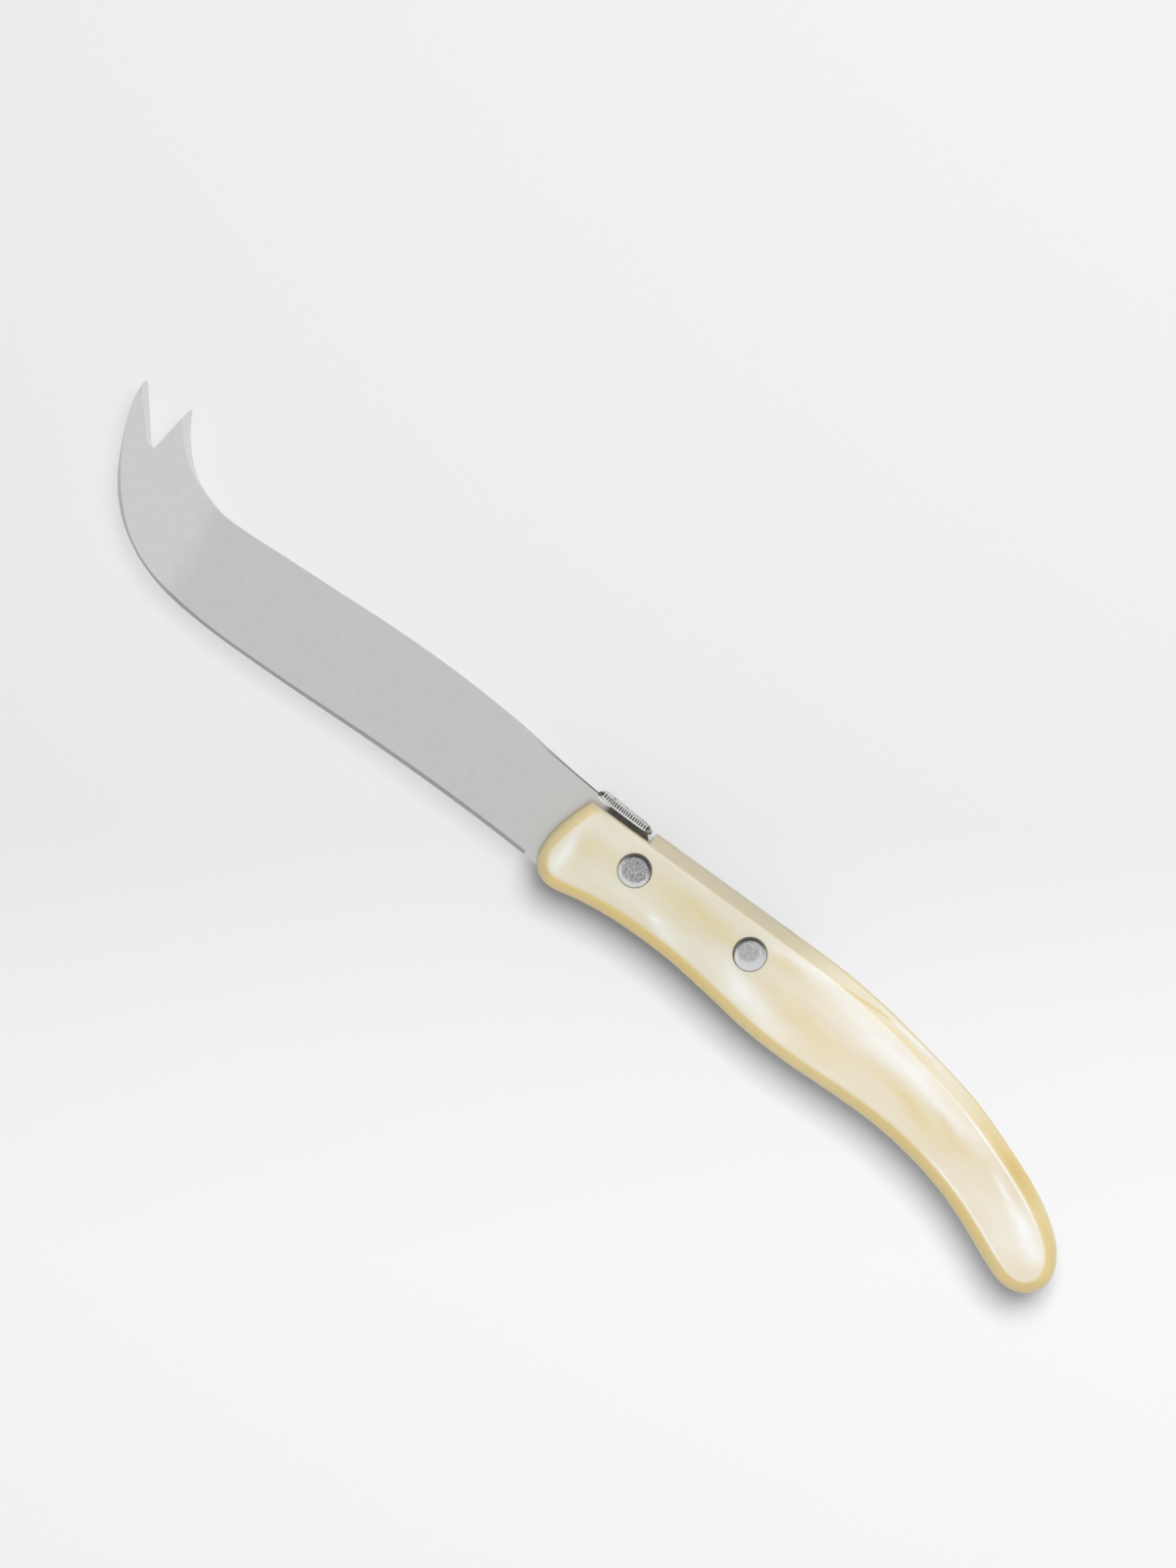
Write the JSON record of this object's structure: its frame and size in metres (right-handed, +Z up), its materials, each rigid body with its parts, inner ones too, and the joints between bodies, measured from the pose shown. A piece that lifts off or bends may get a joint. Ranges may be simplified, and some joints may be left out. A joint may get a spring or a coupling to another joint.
{
  "type": "cheese knife",
  "caption": "Cheese knife with a turned-up fork tip, riveted pearly acrylic handle scales on a half tang and a small metal bee on the spine.",
  "frame": {"origin": "on the surface that the knife lies on, under the middle of its bounding box", "axes": "+X along the knife from the prongs to the butt, +Y from the cutting edge to the spine, +Z up through the handle's left flank"},
  "size_m": [0.2296, 0.0418, 0.013],
  "materials": {
    "blade_steel": "satin ground stainless steel, bare",
    "pearl_acrylic": "polished cream pearlescent acrylic with soft clouds",
    "rivet_metal": "flush rivet with a dished, rough face",
    "bee_steel": "cast and tumbled stainless steel, bright on its high places"
  },
  "bodies": {
    "root": {"blade": "blade_steel", "left_scale": "pearl_acrylic", "right_scale": "pearl_acrylic", "front_rivet": "rivet_metal", "rear_rivet": "rivet_metal", "bee": "bee_steel"}
  },
  "joints": []
}
